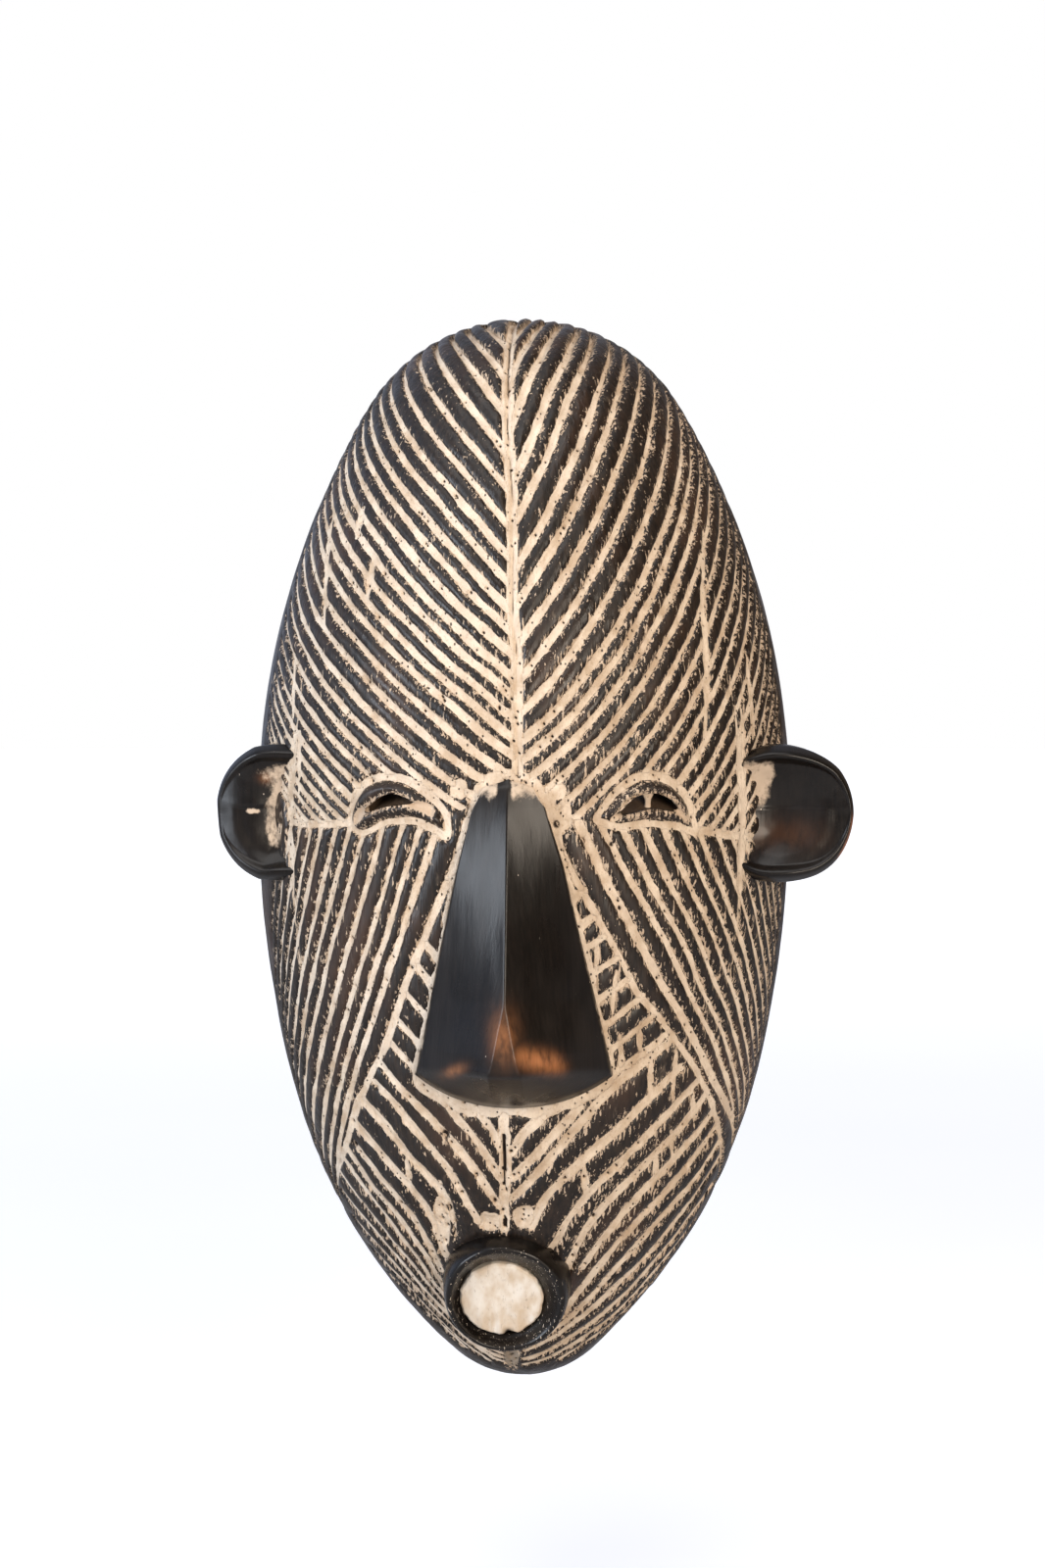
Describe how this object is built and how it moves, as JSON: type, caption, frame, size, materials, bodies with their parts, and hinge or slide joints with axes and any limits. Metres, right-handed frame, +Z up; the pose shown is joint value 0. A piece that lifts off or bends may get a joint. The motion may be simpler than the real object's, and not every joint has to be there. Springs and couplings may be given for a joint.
{
  "type": "carved wooden face mask",
  "caption": "Egg-shaped hollow face mask of dark wood with clay-packed cut lines, wedge nose, slit eyes, half-round ears and a round mouth; hangs on a wall or is worn.",
  "frame": {"origin": "mouth of the hanging hole, in the flat back rim at the top of the mask", "axes": "+Z up along the face towards the crown, -Y out of the front of the face, +X to the face's side that is on the right when seen from the front"},
  "size_m": [0.1731, 0.1082, 0.304],
  "materials": {
    "dark_wood": "stained near black, open grain, waxed",
    "polished_wood": "stained near black, smoothed and waxed, worn to brown on edges",
    "whitened_wood": "whitened with clay, matt",
    "raw_wood": "unfinished",
    "white_clay": "dry rubbed-in clay, matt"
  },
  "bodies": {
    "root": {"mask_shell": "dark_wood", "nose": "polished_wood", "left_ear": "polished_wood", "right_ear": "polished_wood", "mouth_ring": "polished_wood", "mouth_disc": "whitened_wood", "nose_pegs": "raw_wood", "left_ear_pegs": "raw_wood", "right_ear_pegs": "raw_wood", "clay_midline": "white_clay", "clay_nose_bed": "white_clay", "clay_left_brow": "white_clay", "clay_right_brow": "white_clay", "clay_left_eye": "white_clay", "clay_right_eye": "white_clay", "clay_left_cheek": "white_clay", "clay_right_cheek": "white_clay", "clay_left_jaw": "white_clay", "clay_right_jaw": "white_clay", "clay_left_ear_bed": "white_clay", "clay_right_ear_bed": "white_clay"}
  },
  "joints": []
}
